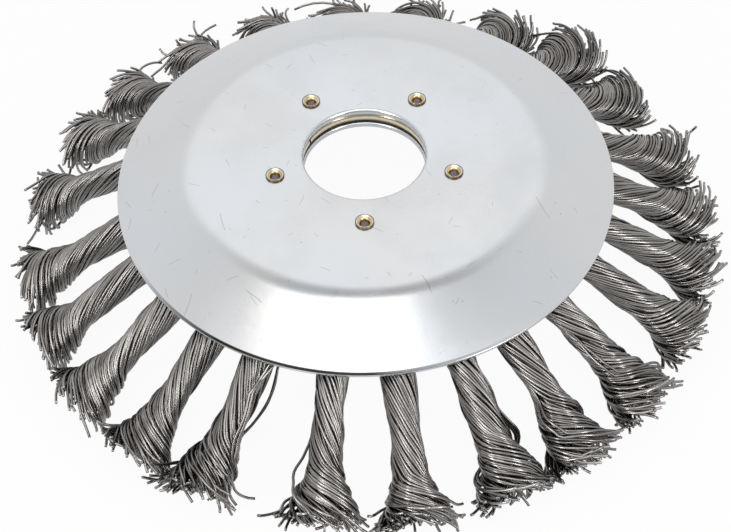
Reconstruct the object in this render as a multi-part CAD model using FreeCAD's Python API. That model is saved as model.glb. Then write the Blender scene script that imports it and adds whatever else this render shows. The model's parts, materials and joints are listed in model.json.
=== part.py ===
import FreeCAD, Part
import math
import os

# Wire wheel brush: twisted wire knots held between two dished covers by a ring of rivets.
# Millimetres. The origin is the middle of the bore on the flat top face, and +Z is up.
# The brush stands on the tips of its knots, with the wide cover on top.

Vector = FreeCAD.Vector

# Driving sizes: spindle bore and the stack around it
bore_diameter = 25.4
sheet = 1.2                  # thickness of both covers
stack_height = 2.7           # room between the covers at the bore
bore_lead_in = 0.4           # bevel at the top edge of the bore
top_seat_width = 4.2         # flat land round the bore for the driving flange
clamp_seat_width = 3.5       # and for the clamping washer underneath
spacer_width = 2.6           # split ring between the covers, measured across its section
spacer_recess = 0.15         # the split ring sits this far behind the bore
spacer_bevel = 0.8           # on both inner edges of the split ring
spacer_gap = 0.5
spacer_gap_azimuth = 151.0

# Driving sizes: rivets
rivet_count = 5
rivet_azimuth = -91.4
rivet_offset = 6.5           # from the bore wall to the rivet circle
rivet_shank = 3.0
rivet_rim = 4.1              # rolled rim on the top face
rivet_rim_height = 0.45
rivet_rim_taper = 0.25
rivet_cup = 1.9              # flat core at the bottom of the cup in the rim
rivet_cup_depth = 0.35
rivet_head = 5.8             # flat head on the underside
rivet_head_height = 0.9
rivet_head_taper = 0.35
rivet_clearance = 0.05

# Driving sizes: knot holder
hub_margin = 4.8             # from the rivet circle to the edge of the thick hub
flange_thickness = 1.4
hole_offset = 5.0            # from the hub to the circle of knot holes
hole_size = 3.8              # square punched holes
flange_margin = 4.0          # from the circle of holes to the flange rim

# Driving sizes: covers
crease_offset = 4.3          # from the flange rim to the bend of the top cover
bevel_run = 14.7             # radial run of the sloping band
bevel_angle = 23.8
bend_radius = 3.0
lower_bend_inset = 1.0       # from the edge of the hub in to the bend of the lower cover
lower_step_inset = 0.9       # from the knot holes in to the foot of its step
lower_rim_offset = 9.0       # from the flange rim out to the rim of the lower cover

# Driving sizes: twisted knots
knot_count = 24
first_knot_azimuth = 4.5
leg_thickness = 1.7
neck_gap = 2.4               # between neighbouring necks under the bend of the top cover
root_gap = 2.6               # between neighbouring knots at the flange rim
knot_slope = 29.0
free_reach = 20.6            # radial run from the rim of the top cover to the tip
tip_gap = 1.4                # between neighbouring tips that do not lean
flare_height = 11.6          # the flare is wider than it is high
neck_lay = 21.0              # angle of the wires to the knot's axis, in the neck and at the tip
tip_lay = 58.0
tip_crown = 1.2
knot_clearance = 0.3
seat_clearance = 0.05

# Sideways lean of each knot in degrees, from knot_01 on: knots are laid by hand and aren't evenly spaced
knot_lean = (-3.2, -3.4, -2.2, -3.3, -3.7, -1.9, -1.1, -0.4, 0.4, 0.5, -0.4, -0.1,
             2.7, 1.7, 0.6, 0.2, -1.4, 1.4, 0.4, 0.8, -0.5, -0.9, -0.5, -1.6)
lean_run = 16.7              # radial run in which a knot bends into its lean

# Shape of the twisted body: corners and spans of its faceted skin
skin_corners = 12
skin_spans = 9
span_bias = 1.35             # above 1 the spans grow shorter towards the tip
lobe_depth = 0.10            # two-lobed section of two legs twisted together
ridge_depth = 0.13           # ridges of the wire bundles
flare_start = 0.64           # share of the body's length
flare_power = 1.5
tip_pinch = 0.95             # the last section, against the widest

# Worked out from the driving sizes: bore, rivets and holder
bore_radius = bore_diameter / 2
lower_top = -sheet - stack_height
stack_bottom = lower_top - sheet
spacer_inner = bore_radius + spacer_recess
spacer_outer = spacer_inner + spacer_width
rivet_circle = bore_radius + rivet_offset
hub_radius = rivet_circle + hub_margin
hole_circle = hub_radius + hole_offset
flange_radius = hole_circle + flange_margin
flange_top = lower_top + flange_thickness / 2
flange_bottom = lower_top - flange_thickness / 2
leg_top = flange_top + seat_clearance + leg_thickness
leg_bottom = flange_bottom - seat_clearance - leg_thickness

# Worked out: covers and knots
crease_radius = flange_radius + crease_offset
rim_radius = crease_radius + bevel_run
lower_rim_radius = flange_radius + lower_rim_offset
body_start = flange_radius + knot_clearance
tip_radius = rim_radius + free_reach
slope = math.radians(knot_slope)


def room_at(radius, gap):
    """Half the width that a knot can take at a radius, with a gap to the next one."""
    return radius * math.tan(math.pi / knot_count) - gap / 2


root_half_width = room_at(body_start, root_gap)
root_half_height = (leg_top - leg_bottom) / 2
neck_radius = room_at(crease_radius, neck_gap)
flare_radius = room_at(tip_radius, tip_gap)
axis_at_crease = -sheet - knot_clearance - neck_radius / math.cos(slope)


def axis_height(radius):
    """Height of a knot's axis at a radius outside the bend of the top cover."""
    return axis_at_crease - (radius - crease_radius) * math.tan(slope)


def rounded_wire(corners):
    """Closed wire in the XZ plane from (radius, height, rounding) corners, as lines and arcs."""
    places = [Vector(radius, 0, height) for radius, height, rounding in corners]
    edges = []
    stops = []
    for index, (radius, height, rounding) in enumerate(corners):
        here = places[index]
        back = (places[index - 1] - here).normalize()
        ahead = (places[(index + 1) % len(places)] - here).normalize()
        if rounding == 0:
            stops.append((here, here))
            continue
        half = back.getAngle(ahead) / 2
        reach = rounding / math.tan(half)
        middle = here + (back + ahead).normalize() * (rounding / math.sin(half) - rounding)
        stops.append((here + back * reach, here + ahead * reach))
        edges.append(Part.Arc(stops[-1][0], middle, stops[-1][1]).toShape())
    for index, (entry, leave) in enumerate(stops):
        edges.append(Part.LineSegment(leave, stops[(index + 1) % len(stops)][0]).toShape())
    return Part.Wire(Part.__sortEdges__(edges))


def turned(corners):
    """Solid of revolution about Z. Corners are (radius, height), with a rounding where there is one."""
    outline = [tuple(corner) + (0,) * (3 - len(corner)) for corner in corners]
    return Part.Face(rounded_wire(outline)).revolve(Vector(0, 0, 0), Vector(0, 0, 1), 360)


def underside(top_line):
    """Line one sheet thickness below a line of (radius, height) points, with mitred corners."""
    angles = [math.atan2(b[1] - a[1], b[0] - a[0]) for a, b in zip(top_line, top_line[1:])]
    result = [(top_line[0][0], top_line[0][1] - sheet)]
    for (radius, height), before, after in zip(top_line[1:-1], angles, angles[1:]):
        middle = (before + after) / 2
        offset = sheet / math.cos((after - before) / 2)
        result.append((radius + offset * math.sin(middle), height - offset * math.cos(middle)))
    radius, height = top_line[-1]
    last = angles[-1]
    result.append((radius + sheet * math.sin(last), height - sheet * math.cos(last)))
    return result


def around(shape, count, first_azimuth):
    """Copies of a shape at equal steps around Z."""
    copies = []
    for index in range(count):
        copy = shape.copy()
        copy.rotate(Vector(0, 0, 0), Vector(0, 0, 1), first_azimuth + index * 360.0 / count)
        copies.append(copy)
    return copies


def with_rivet_holes(shape):
    """Drill the ring of rivet holes through a shape."""
    drill = Part.makeCylinder(rivet_shank / 2 + rivet_clearance, -2 * stack_bottom,
                              Vector(rivet_circle, 0, 2 * stack_bottom))
    return shape.cut(Part.makeCompound(around(drill, rivet_count, rivet_azimuth)))


def make_top_cover():
    """Wide cover: flat centre with its seat for the flange, and one sloping band."""
    rim_height = -bevel_run * math.tan(math.radians(bevel_angle))
    top = [(bore_radius, 0), (crease_radius, 0), (rim_radius, rim_height)]
    low = underside(top)
    corners = [(bore_radius, -bore_lead_in), (bore_radius + bore_lead_in, 0),
               (bore_radius + top_seat_width, 0), (*top[1], bend_radius + sheet), top[2],
               low[2], (*low[1], bend_radius), low[0]]
    return with_rivet_holes(turned(corners))


def make_lower_cover():
    """Smaller cover: it steps down past the knot holder and slopes along under the necks."""
    step_foot = hole_circle - hole_size / 2 - lower_step_inset
    neck_bottom = axis_height(lower_rim_radius) - neck_radius / math.cos(slope)
    top = [(bore_radius, lower_top), (hub_radius - lower_bend_inset, lower_top),
           (step_foot, leg_bottom - knot_clearance), (lower_rim_radius, neck_bottom - knot_clearance)]
    low = underside(top)
    seat_edge = (bore_radius + clamp_seat_width, stack_bottom)
    return with_rivet_holes(turned(top + low[:0:-1] + [seat_edge, low[0]]))


def make_spacer_ring():
    """Hoop bent from bar, with its two ends butted and its inner edges bevelled."""
    middle = spacer_inner + spacer_bevel
    hoop = turned([(middle, -sheet), (spacer_outer, -sheet), (spacer_outer, lower_top), (middle, lower_top),
                   (spacer_inner, lower_top + spacer_bevel), (spacer_inner, -sheet - spacer_bevel)])
    saw = Part.makeBox(2 * spacer_width, spacer_gap, 2 * stack_height,
                       Vector(spacer_inner - spacer_width / 2, -spacer_gap / 2, lower_top - stack_height / 2))
    saw.rotate(Vector(0, 0, 0), Vector(0, 0, 1), spacer_gap_azimuth)
    return hoop.cut(saw)


def make_knot_holder():
    """Hub clamped by the rivets, with a thin flange that the knots are looped through."""
    inner = spacer_outer + knot_clearance
    disc = turned([(inner, -sheet), (hub_radius, -sheet), (hub_radius, flange_top), (flange_radius, flange_top),
                   (flange_radius, flange_bottom), (hub_radius, flange_bottom), (hub_radius, lower_top),
                   (inner, lower_top)])
    punch = Part.makeBox(hole_size, hole_size, 2 * flange_thickness,
                         Vector(hole_circle - hole_size / 2, -hole_size / 2, lower_top - flange_thickness))
    return with_rivet_holes(disc.cut(Part.makeCompound(around(punch, knot_count, first_knot_azimuth))))


def make_rivets():
    """Tubular rivets: a rolled rim with a cup on top, and a flat head underneath."""
    rim = rivet_rim / 2
    head = rivet_head / 2
    head_bottom = stack_bottom - rivet_head_height
    rivet = turned([(0, -rivet_cup_depth), (rivet_cup / 2, -rivet_cup_depth),
                    (rim - rivet_rim_taper, rivet_rim_height), (rim, 0), (rivet_shank / 2, 0),
                    (rivet_shank / 2, stack_bottom), (head, stack_bottom),
                    (head - rivet_head_taper, head_bottom), (0, head_bottom)])
    rivet.translate(Vector(rivet_circle, 0, 0))
    return Part.makeCompound(around(rivet, rivet_count, rivet_azimuth))


def skin_ring(centre, normal, across, upright, turn):
    """Corners of one section: two lobes, with a ridge at every other corner."""
    ring = []
    for corner in range(skin_corners):
        angle = 2 * math.pi * corner / skin_corners
        lobe = lobe_depth * (1 - math.cos(2 * angle)) / 2
        size = 1 - lobe - ridge_depth * (corner % 2)
        side = across * size * math.cos(angle + turn)
        up = upright * size * math.sin(angle + turn)
        ring.append(centre + Vector(0, side, 0) + normal * up)
    return ring


def leaning(points, radius, lean):
    """Points of a section at a radius, turned about Z by its share of the knot's lean."""
    share = min(1.0, (radius - body_start) / lean_run)
    turn = FreeCAD.Rotation(Vector(0, 0, 1), lean * share * share * (3 - 2 * share))
    return [turn.multVec(point) for point in points]


def skin_rings(lean):
    """Sections of the twisted body, from the flange rim out to the tip."""
    start = Vector(body_start, 0, (leg_top + leg_bottom) / 2)
    crease = Vector(crease_radius, 0, axis_at_crease)
    tip = Vector(tip_radius, 0, axis_height(tip_radius))
    root_length = (crease - start).Length
    length = root_length + (tip - crease).Length
    rings = []
    turn = 0.0
    done = 0.0
    for span in range(skin_spans + 1):
        along = length * (1 - (1 - span / skin_spans) ** span_bias)
        grown = min(1.0, along / root_length)
        flare = max(0.0, (along / length - flare_start) / (1 - flare_start)) ** flare_power
        wide = neck_radius + (flare_radius - neck_radius) * flare
        tall = neck_radius + (flare_height / 2 - neck_radius) * flare
        lay = math.radians(neck_lay + (tip_lay - neck_lay) * flare)
        turn -= math.tan(lay) * (along - done) / wide
        done = along
        beyond = max(0.0, along - root_length) / (length - root_length)
        centre = start + (crease - start) * grown + (tip - crease) * beyond
        normal = Vector(math.sin(slope * grown), 0, math.cos(slope * grown))
        pinch = tip_pinch if span == skin_spans else 1
        across = root_half_width + (wide * pinch - root_half_width) * grown
        upright = root_half_height + (tall * pinch - root_half_height) * grown
        rings.append(leaning(skin_ring(centre, normal, across, upright, turn), centre.x, lean))
    return rings


def triangle(a, b, c):
    """Flat three-sided face."""
    return Part.Face(Part.makePolygon([a, b, c, a]))


def make_twisted_body(lean):
    """Faceted skin whose edges run along the lay of the wires."""
    rings = skin_rings(lean)
    crown = Vector(tip_radius, 0, axis_height(tip_radius)) + Vector(math.cos(slope), 0, -math.sin(slope)) * tip_crown
    crown = leaning([crown], crown.x, lean)[0]
    faces = [Part.Face(Part.makePolygon(rings[0] + rings[0][:1]))]
    for corner in range(skin_corners):
        after = (corner + 1) % skin_corners
        for near, far in zip(rings, rings[1:]):
            faces.append(triangle(near[corner], near[after], far[after]))
            faces.append(triangle(near[corner], far[after], far[corner]))
        faces.append(triangle(rings[-1][corner], rings[-1][after], crown))
    body = Part.Solid(Part.Shell(faces))
    if body.Volume < 0:
        body.reverse()
    return body


def make_knot(lean):
    """One knot: a bundle looped round the flange, its two legs twisted together and flared."""
    half = hole_size / 2 - seat_clearance
    inner = hole_circle - half
    slot_end = hole_circle + half
    outer = body_start + seat_clearance
    loop = [(inner, leg_top), (outer, leg_top), (outer, flange_top + seat_clearance),
            (slot_end, flange_top + seat_clearance), (slot_end, flange_bottom - seat_clearance),
            (outer, flange_bottom - seat_clearance), (outer, leg_bottom), (inner, leg_bottom)]
    profile = [Vector(radius, -half, height) for radius, height in loop + loop[:1]]
    legs = Part.Face(Part.makePolygon(profile)).extrude(Vector(0, 2 * half, 0))
    return make_twisted_body(lean).fuse(legs)


def make_parts():
    """Every piece by name."""
    parts = {
        "top_cover": make_top_cover(),
        "lower_cover": make_lower_cover(),
        "spacer_ring": make_spacer_ring(),
        "knot_holder": make_knot_holder(),
        "rivets": make_rivets(),
    }
    for index in range(knot_count):
        knot = make_knot(knot_lean[index % len(knot_lean)])
        knot.rotate(Vector(0, 0, 0), Vector(0, 0, 1), first_knot_azimuth + index * 360.0 / knot_count)
        parts["knot_%02d" % (index + 1)] = knot
    return parts


def main():
    os.makedirs("parts", exist_ok=True)
    for name, shape in make_parts().items():
        shape.exportStep(os.path.join("parts", name + ".step"))


main()
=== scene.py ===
import json
import math

import bmesh
import bpy
import numpy as np
from bpy.props import FloatProperty, FloatVectorProperty, IntProperty, PointerProperty
from mathutils import Matrix, Vector


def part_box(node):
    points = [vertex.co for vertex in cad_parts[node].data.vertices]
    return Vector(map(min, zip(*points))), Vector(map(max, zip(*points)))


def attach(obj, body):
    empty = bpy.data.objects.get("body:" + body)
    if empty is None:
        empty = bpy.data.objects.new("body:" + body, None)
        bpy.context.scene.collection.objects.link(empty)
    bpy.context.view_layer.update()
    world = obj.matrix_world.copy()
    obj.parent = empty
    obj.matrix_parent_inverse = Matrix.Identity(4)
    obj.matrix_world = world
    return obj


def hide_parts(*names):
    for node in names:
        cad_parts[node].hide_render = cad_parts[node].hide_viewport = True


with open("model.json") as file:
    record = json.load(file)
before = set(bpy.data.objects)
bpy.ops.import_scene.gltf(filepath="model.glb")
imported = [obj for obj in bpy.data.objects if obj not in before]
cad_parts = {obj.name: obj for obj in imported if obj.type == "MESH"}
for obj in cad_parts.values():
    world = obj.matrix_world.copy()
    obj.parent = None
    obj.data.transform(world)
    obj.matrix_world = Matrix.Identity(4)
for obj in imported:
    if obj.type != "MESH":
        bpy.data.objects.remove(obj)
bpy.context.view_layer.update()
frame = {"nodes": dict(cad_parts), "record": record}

bl_info = {
    "name": "Wire Wheel Brush",
    "version": (1, 0, 0),
    "blender": (4, 5, 0),
    "location": "View3D > Sidebar > Brush",
    "description": "Dresses the packed solids of a wire wheel brush with wires and plated finishes",
    "category": "Object",
}

# Shapes are worked out in millimetres and made in metres
MM = 0.001
BODY = "root"
FULL_TURN = 2 * math.pi
SHARP_ANGLE = math.radians(38)
WELD_REACH = 1e-7
KNOTS = sorted(name for name in frame["nodes"] if name.startswith("knot_") and name[5:].isdigit())
STEP = FULL_TURN / len(KNOTS)

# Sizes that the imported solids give
BORE_RADIUS = frame["record"]["mounts"][0]["dims"]["r_mm"]
STACK_HEIGHT = frame["record"]["mounts"][0]["dims"]["length_mm"]
RIM_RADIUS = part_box("top_cover")[1].x / MM
LOWER_RIM_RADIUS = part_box("lower_cover")[1].x / MM
RIVET_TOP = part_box("rivets")[1].z / MM
RIVET_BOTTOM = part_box("rivets")[0].z / MM
FLOOR_HEIGHT = min(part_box(name)[0].z for name in KNOTS)

# Plates and rivets as in the solids, apart from the top cover's rounder bend
SHEET = 1.2
HUB_RADIUS = 24.0
CREASE_RADIUS = 37.3
CREASE_ROUND = 9.5
BEVEL_ANGLE = math.radians(23.8)
RIM_HEIGHT = -(RIM_RADIUS - CREASE_RADIUS) * math.tan(BEVEL_ANGLE)
RIVET_CIRCLE = 19.2
RIVET_SHANK = 1.5
RIVET_COUNT = 5
RIVET_AZIMUTH = math.radians(-91.4)
DRILL_PLAY = 0.05
DRILL_TOP = 2.0
DRILL_FOOT = -8.0
SPACER_WIDTH = 2.6
SPACER_RECESS = 0.15
SPACER_ROUND = 1.2
SPACER_EDGE = 0.2
SPACER_GAP_AZIMUTH = math.radians(151.0)
SPACER_GAP_HALF = 0.25
RING_MIDDLE = -2.3
STEP_FOOT = 26.2
LOWER_COVER_GAP = 0.3

# Knots, as in the solids
FIRST_KNOT_AZIMUTH = math.radians(4.5)
FLANGE_MIDDLE = -3.9
FLANGE_HALF = 0.75
HOLE_CIRCLE = 29.0
HOLE_HALF = 1.85
LEG_THICKNESS = 1.7
BODY_START = 33.3
AXIS_AT_CREASE = -5.74
KNOT_SLOPE = math.radians(29.0)
NECK_DROP = 4.24
TIP_RADIUS = 72.6
ROOT_RUN = math.hypot(CREASE_RADIUS - BODY_START, AXIS_AT_CREASE - FLANGE_MIDDLE)
BODY_LENGTH = ROOT_RUN + (TIP_RADIUS - CREASE_RADIUS) / math.cos(KNOT_SLOPE)

# Sideways lean of each knot in degrees, from knot_01 on
KNOT_LEAN = (-4.3, -4.2, -2.8, -4.1, -4.6, -2.4, -1.5, -0.5, 0.5, 0.6, -0.5, -0.2,
             3.4, 2.1, 0.8, 0.3, -1.8, 1.9, 0.5, 1.1, -0.7, -1.1, -0.5, -1.6)
LEAN_RUN = 16.7


# Settings a user would change

class BrushSizes(bpy.types.PropertyGroup):
    """Sizes of the wires and of the plates' edges."""
    wire: FloatProperty(name="Wire", description="Diameter of one wire", default=0.00058, unit="LENGTH")
    neck: FloatProperty(
        name="Neck", description="Diameter of a knot under the cover's rim", default=0.0069, unit="LENGTH")
    flare_width: FloatProperty(
        name="Flare width", description="Width of a knot's tip", default=0.0162, unit="LENGTH")
    flare_height: FloatProperty(
        name="Flare height", description="Height of a knot's tip", default=0.0116, unit="LENGTH")
    rim_round: FloatProperty(
        name="Rim rounding", description="Rounding of the cover's outer edge", default=0.0003, unit="LENGTH")
    bore_round: FloatProperty(
        name="Bore rounding", description="Rounding of the cover's inner edge", default=0.0006, unit="LENGTH")
    seed: IntProperty(name="Seed", description="Start of the random draws for the wires", default=11)


class BrushFinish(bpy.types.PropertyGroup):
    """Colours of the metals."""
    plate: FloatVectorProperty(
        name="Plate", description="Bright zinc of the covers", default=(0.745, 0.77, 0.80),
        size=3, subtype="COLOR", min=0, max=1)
    passivated: FloatVectorProperty(
        name="Passivated", description="Yellow film on the ring", default=(0.78, 0.64, 0.42),
        size=3, subtype="COLOR", min=0, max=1)
    # The dark wire colour is also the painted shade on each wire's sides, and the light one the painted
    # highlight along its crest
    wire_dark: FloatVectorProperty(
        name="Dark wire", description="Oiled drawn steel", default=(0.21, 0.2, 0.193),
        size=3, subtype="COLOR", min=0, max=1)
    wire_light: FloatVectorProperty(
        name="Light wire", description="Clean drawn steel", default=(0.62, 0.595, 0.57),
        size=3, subtype="COLOR", min=0, max=1)


# Colours of marks and dirt, and of painted shade, a painted highlight and a painted reflection
SCRATCH_GREY = (0.25, 0.25, 0.27)
# painted reflection: the dark line along the rim's front edge
RIM_DARK_REFLECTION = (0.03, 0.026, 0.022)
# painted highlight along the spacer ring's middle
RING_PAINTED_HIGHLIGHT = (1.0, 0.93, 0.8)
WIRE_STAIN = (0.20, 0.16, 0.13)
# painted shade between the wires
WIRE_GROOVE_SHADE = (0.075, 0.07, 0.066)
# painted shade on the inner wires
WIRE_INNER_SHADE = (0.05, 0.047, 0.044)
# painted shade of the filling inside the knots
PACKED_CORE_SHADE = ((0.03, 0.028, 0.027), (0.09, 0.085, 0.08))

# How strongly marks, dirt and painted shade show
TINT_SHARE = 0.5
SMUDGE_SHARE = 0.25
SCRATCH_SHARE = 0.6
DULL_SHARE = 0.5
STAIN_SHARE = 0.4
INNER_SHADE_SHARE = 0.32

# Scratches by kind: cells to a metre, length and width in cells, density and strength
SCRATCH_KINDS = ((62.0, 0.16, 0.008, 0.7, 0.8),
                 (170.0, 0.26, 0.022, 1.0, 0.6),
                 (420.0, 0.07, 0.07, 0.25, 1.0))
SCRATCH_TURN = 6.28
SCRATCH_BEND = 0.4

# Depth of the bumps in metres
SHEET_BUMP = 0.0001
WIRE_BUMP = 0.00005

# Colour sockets of the Mix node
MIX_COLOURS = (6, 7)
MIX_RESULT = 2


# Node helpers

def feed(tree, target, key, value):
    """Give an input of a node a plain value or the socket that feeds it."""
    if isinstance(value, bpy.types.NodeSocket):
        tree.links.new(value, target.inputs[key])
    else:
        target.inputs[key].default_value = value


def node(tree, kind, inputs=None, **settings):
    """New shader node whose inputs are plain values or the sockets that feed them."""
    made = tree.nodes.new("ShaderNode" + kind)
    for key, value in settings.items():
        setattr(made, key, value)
    for key, value in (inputs or {}).items():
        feed(tree, made, key, value)
    return made


def maths(tree, operation, *values, clamp=False):
    """Result of one sum on values or sockets."""
    return node(tree, "Math", dict(enumerate(values)), operation=operation, use_clamp=clamp).outputs[0]


def times(tree, first, *others):
    """Product of values or sockets."""
    for other in others:
        first = maths(tree, "MULTIPLY", first, other)
    return first


def between(tree, value, low, high):
    """Value from low to high, stretched to 0 to 1."""
    return node(tree, "MapRange", {"Value": value, "From Min": low, "From Max": high}).outputs["Result"]


def split(tree, vector):
    """X, Y and Z of a vector."""
    return tuple(node(tree, "SeparateXYZ", {"Vector": vector}).outputs)


def noise(tree, place, scale, detail=2.0, roughness=0.5):
    """Cloudy noise from 0 to 1."""
    clouds = {"Vector": place, "Scale": scale, "Detail": detail, "Roughness": roughness}
    return node(tree, "TexNoise", clouds).outputs["Fac"]


def blend(tree, share, first, second):
    """Mix of two colours."""
    mixed = node(tree, "Mix", {"Factor": share}, data_type="RGBA")
    for key, colour in zip(MIX_COLOURS, (first, second)):
        feed(tree, mixed, key, colour if isinstance(colour, bpy.types.NodeSocket) else (*colour, 1))
    return mixed.outputs[MIX_RESULT]


def dimmed(colour, share):
    """Darker version of a colour."""
    return tuple(share * part for part in colour)


def new_group(name, inputs, outputs):
    """Node group with float inputs (name, default) and named float outputs."""
    group = bpy.data.node_groups.new(name, "ShaderNodeTree")
    for label, value in inputs:
        socket = group.interface.new_socket(name=label, in_out="INPUT", socket_type="NodeSocketFloat")
        socket.default_value = value
    for label in outputs:
        group.interface.new_socket(name=label, in_out="OUTPUT", socket_type="NodeSocketFloat")
    return group, group.nodes.new("NodeGroupInput").outputs, group.nodes.new("NodeGroupOutput")


def short_scratches(tree, place, scale, length, width, kept):
    """Mask of sparse short scratches, one to a cell, each with its own direction and a slight bend."""
    cells = node(tree, "TexVoronoi", {"Vector": place, "Scale": scale}, voronoi_dimensions="2D").outputs
    offset = node(tree, "VectorMath", {0: place, 1: cells["Position"]}, operation="SUBTRACT")
    local = node(tree, "VectorMath", {0: offset.outputs[0], 3: scale}, operation="SCALE").outputs["Vector"]
    chance = node(tree, "SeparateColor", {"Color": cells["Color"]}).outputs
    turn = {"Vector": local, "Angle": times(tree, chance["Red"], SCRATCH_TURN)}
    ahead, aside, _ = split(tree, node(tree, "VectorRotate", turn, rotation_type="Z_AXIS").outputs["Vector"])
    along = maths(tree, "ABSOLUTE", ahead)
    bend = times(tree, along, along, SCRATCH_BEND)
    across = maths(tree, "ABSOLUTE", maths(tree, "SUBTRACT", aside, bend))
    reached = maths(tree, "LESS_THAN", along, times(tree, chance["Green"], length))
    chosen = maths(tree, "LESS_THAN", chance["Blue"], kept)
    return times(tree, reached, between(tree, across, width, 0.0), chosen)


def handling_marks():
    """Group for plated sheet: smudges, sparse scratches, dots, a fine grain and a faint tint."""
    if "Handling marks" in bpy.data.node_groups:
        return bpy.data.node_groups["Handling marks"]
    group, given, result = new_group(
        "Handling marks",
        [("Smudge size", 45.0), ("Scratch density", 0.35), ("Grain size", 4200.0)],
        ["Smudge", "Scratch", "Grain", "Tint"])
    place = node(group, "TexCoord").outputs["Object"]
    scratch = 0.0
    for scale, length, width, density, strength in SCRATCH_KINDS:
        kept = times(group, given["Scratch density"], density)
        kind = times(group, short_scratches(group, place, scale, length, width, kept), strength)
        scratch = maths(group, "MAXIMUM", kind, scratch)
    smudge = noise(group, place, given["Smudge size"], 4.0, 0.6)
    tint = noise(group, place, 28.0, 1.0)
    feed(group, result, "Smudge", between(group, smudge, 0.45, 0.75))
    feed(group, result, "Scratch", scratch)
    feed(group, result, "Grain", noise(group, place, given["Grain size"]))
    feed(group, result, "Tint", between(group, tint, 0.4, 0.62))
    return group


def axis_distance():
    """Group that gives the distance from the Z axis and the height, in millimetres."""
    if "Axis distance" in bpy.data.node_groups:
        return bpy.data.node_groups["Axis distance"]
    group, given, result = new_group("Axis distance", [("Scale", 1 / MM)], ["Distance", "Height"])
    x, y, z = split(group, node(group, "TexCoord").outputs["Object"])
    flat = node(group, "CombineXYZ", {"X": x, "Y": y}).outputs["Vector"]
    length = node(group, "VectorMath", {0: flat}, operation="LENGTH").outputs["Value"]
    feed(group, result, "Distance", times(group, length, given["Scale"]))
    feed(group, result, "Height", times(group, z, given["Scale"]))
    return group


# Finishes

def metal(name, roughness):
    """Material with a metallic shader, its tree and the shader."""
    made = bpy.data.materials.new(name)
    made.use_nodes = True
    shader = made.node_tree.nodes["Principled BSDF"]
    shader.inputs["Metallic"].default_value = 1.0
    shader.inputs["Roughness"].default_value = roughness
    return made, made.node_tree, shader


def coat(tree, shader, tone, rough, bump):
    """Feed a shader its colour, its roughness (mask, span, least) and its bump (height, strength, depth)."""
    height, strength, depth = bump
    raised = node(tree, "Bump", {"Height": height, "Strength": strength, "Distance": depth})
    feed(tree, shader, "Base Color", tone)
    feed(tree, shader, "Roughness", maths(tree, "MULTIPLY_ADD", *rough))
    feed(tree, shader, "Normal", raised.outputs["Normal"])


def painted_rim_reflection(tree):
    """Mask of a thin line on the rim's upper edge, along its front and left, for a painted dark reflection.
    """
    shape = node(tree, "Group", node_tree=axis_distance()).outputs
    x, y, _ = split(tree, node(tree, "TexCoord").outputs["Object"])
    below_top = between(tree, shape["Height"], RIM_HEIGHT + 0.32, RIM_HEIGHT + 0.24)
    above_foot = between(tree, shape["Height"], RIM_HEIGHT - 0.04, RIM_HEIGHT + 0.02)
    at_rim = between(tree, shape["Distance"], RIM_RADIUS - 1, RIM_RADIUS - 0.7)
    in_front = between(tree, y, -0.022, -0.042)
    on_left = between(tree, x, 0.03, 0.0)
    return times(tree, below_top, above_foot, at_rim, in_front, on_left)


def plated_finish(name, colour, roughness, dark_rim_reflection=False, grain=0.13):
    """Zinc plated sheet with handling marks, and, where asked, a painted dark reflection line at the front of
    the rim.
    """
    made, tree, shader = metal(name, roughness)
    marks = node(tree, "Group", node_tree=handling_marks()).outputs
    warm = (min(1.0, 1.02 * colour[0]), 0.985 * colour[1], 0.94 * colour[2])
    tone = blend(tree, times(tree, marks["Tint"], TINT_SHARE), colour, warm)
    tone = blend(tree, times(tree, marks["Smudge"], SMUDGE_SHARE), tone, dimmed(colour, 0.86))
    tone = blend(tree, times(tree, marks["Scratch"], SCRATCH_SHARE), tone, SCRATCH_GREY)
    # A thin dark line painted along the rim's front and left: a painted reflection
    if dark_rim_reflection:
        tone = blend(tree, painted_rim_reflection(tree), tone, RIM_DARK_REFLECTION)
    coat(tree, shader, tone, (marks["Smudge"], 0.1, roughness), (marks["Grain"], grain, SHEET_BUMP))
    return made


def passivated_finish(name, colour, ring=False):
    """Yellow chromate film: patchy gold to olive brown over steel. A ring gets a painted highlight along its
    middle and painted shade above and below it.
    """
    made, tree, shader = metal(name, 0.3)
    film = {"Smudge size": 160.0, "Grain size": 3400.0}
    marks = node(tree, "Group", film, node_tree=handling_marks()).outputs
    pale = tuple(min(1.0, 1.35 * part + 0.08) for part in colour)
    tone = blend(tree, marks["Smudge"], colour, pale)
    tone = blend(tree, times(tree, marks["Grain"], DULL_SHARE), tone, dimmed(colour, 0.5))
    # Painted shade at the ring's upper and lower edges, and a painted highlight along its middle
    if ring:
        height = node(tree, "Group", node_tree=axis_distance()).outputs["Height"]
        off = maths(tree, "ABSOLUTE", maths(tree, "SUBTRACT", height, RING_MIDDLE))
        tone = blend(tree, between(tree, off, 0.4, 0.8), tone, dimmed(colour, 0.1))
        tone = blend(tree, between(tree, off, 0.45, 0.1), tone, RING_PAINTED_HIGHLIGHT)
    coat(tree, shader, tone, (marks["Grain"], 0.2, 0.12), (marks["Grain"], 0.2, SHEET_BUMP))
    return made


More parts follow.
